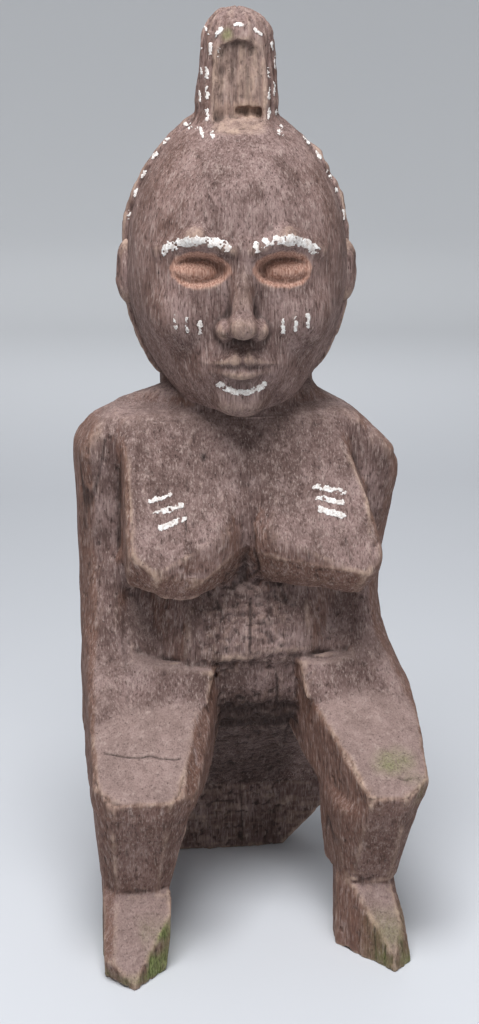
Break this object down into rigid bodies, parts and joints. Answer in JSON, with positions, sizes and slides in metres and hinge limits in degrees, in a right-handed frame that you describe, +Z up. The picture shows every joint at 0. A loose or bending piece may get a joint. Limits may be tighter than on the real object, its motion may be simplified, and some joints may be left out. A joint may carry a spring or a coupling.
{
  "type": "carved ancestor figure",
  "caption": "Seated ancestor figure adzed from one log, with a tall topknot, flat-cut breasts, splayed legs, a stool behind, and chalk-white painted strokes.",
  "frame": {"origin": "on the floor, under the middle of the figure's bounding box", "axes": "+Z up, the figure faces -Y, its own left hand is on the +X side"},
  "size_m": [0.256, 0.291, 0.7002],
  "materials": {
    "weathered_wood": "dry, adzed and weathered",
    "white_pigment": "matt chalk"
  },
  "bodies": {
    "root": {"belly": "weathered_wood", "buttocks": "weathered_wood", "chest": "weathered_wood", "chin_pigment": "white_pigment", "face": "weathered_wood", "hair": "weathered_wood", "hairline_dabs": "white_pigment", "left_arm": "weathered_wood", "left_breast": "weathered_wood", "left_breast_marks": "white_pigment", "left_brow_pigment": "white_pigment", "left_cheek_pigment": "white_pigment", "left_ear": "weathered_wood", "left_foot": "weathered_wood", "left_shin": "weathered_wood", "left_shoulder": "weathered_wood", "left_thigh": "weathered_wood", "neck": "weathered_wood", "pelvis": "weathered_wood", "right_arm": "weathered_wood", "right_breast": "weathered_wood", "right_breast_marks": "white_pigment", "right_brow_pigment": "white_pigment", "right_cheek_pigment": "white_pigment", "right_ear": "weathered_wood", "right_foot": "weathered_wood", "right_shin": "weathered_wood", "right_shoulder": "weathered_wood", "right_thigh": "weathered_wood", "stool": "weathered_wood", "topknot": "weathered_wood", "topknot_dabs": "white_pigment"}
  },
  "joints": []
}
